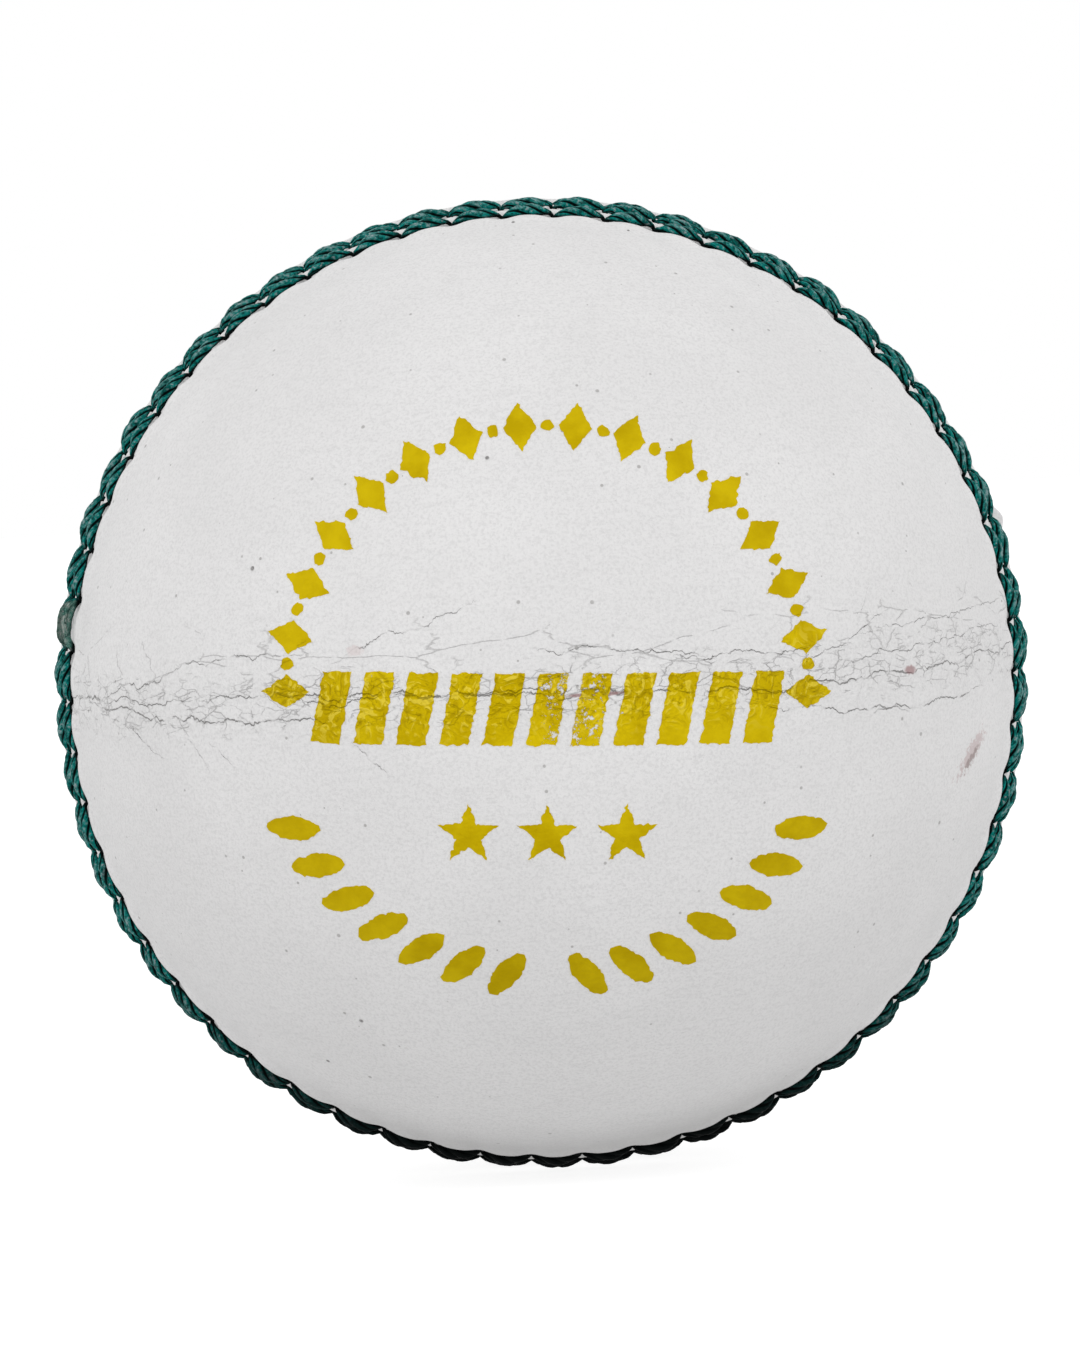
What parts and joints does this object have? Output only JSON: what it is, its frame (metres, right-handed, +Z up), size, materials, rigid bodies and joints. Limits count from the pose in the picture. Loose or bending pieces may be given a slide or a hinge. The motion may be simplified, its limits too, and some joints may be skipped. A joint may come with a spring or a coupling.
{
  "type": "cricket ball",
  "caption": "White leather ball with a raised round seam of dark green stitches, a gold foil ornament and a layered cork and yarn core.",
  "frame": {"origin": "centre of the ball", "axes": "+Z up; +Y is the seam axis, square to the stitched seam, pointing from the stamped front cup to the plain back cup; the front quarter joint lies in z = 0 and the back one in x = 0"},
  "size_m": [0.0716, 0.0701, 0.0716],
  "materials": {
    "white_leather": "smooth lacquered",
    "seam_thread": "waxed plied linen",
    "gold_foil": "worn hot-stamped foil",
    "joint_thread": "waxed",
    "lining_leather": "raw split",
    "nucleus": "matte, cork-filled",
    "cork": "matte",
    "winding_yarn": "matte"
  },
  "bodies": {
    "root": {"cork_rubber_nucleus": "nucleus", "inner_yarn_winding": "winding_yarn", "inner_cork_strips": "cork", "middle_yarn_winding": "winding_yarn", "outer_cork_strips": "cork", "outer_yarn_winding": "winding_yarn", "front_upper_quarter": "white_leather", "front_lower_quarter": "white_leather", "back_left_quarter": "white_leather", "back_right_quarter": "white_leather", "front_upper_lining": "lining_leather", "front_lower_lining": "lining_leather", "back_right_lining": "lining_leather", "back_left_lining": "lining_leather", "closing_stitches": "seam_thread", "front_middle_stitches": "seam_thread", "front_outer_stitches": "seam_thread", "back_middle_stitches": "seam_thread", "back_outer_stitches": "seam_thread", "front_joint_stitches": "joint_thread", "back_joint_stitches": "joint_thread", "foil_stamp": "gold_foil"}
  },
  "joints": []
}
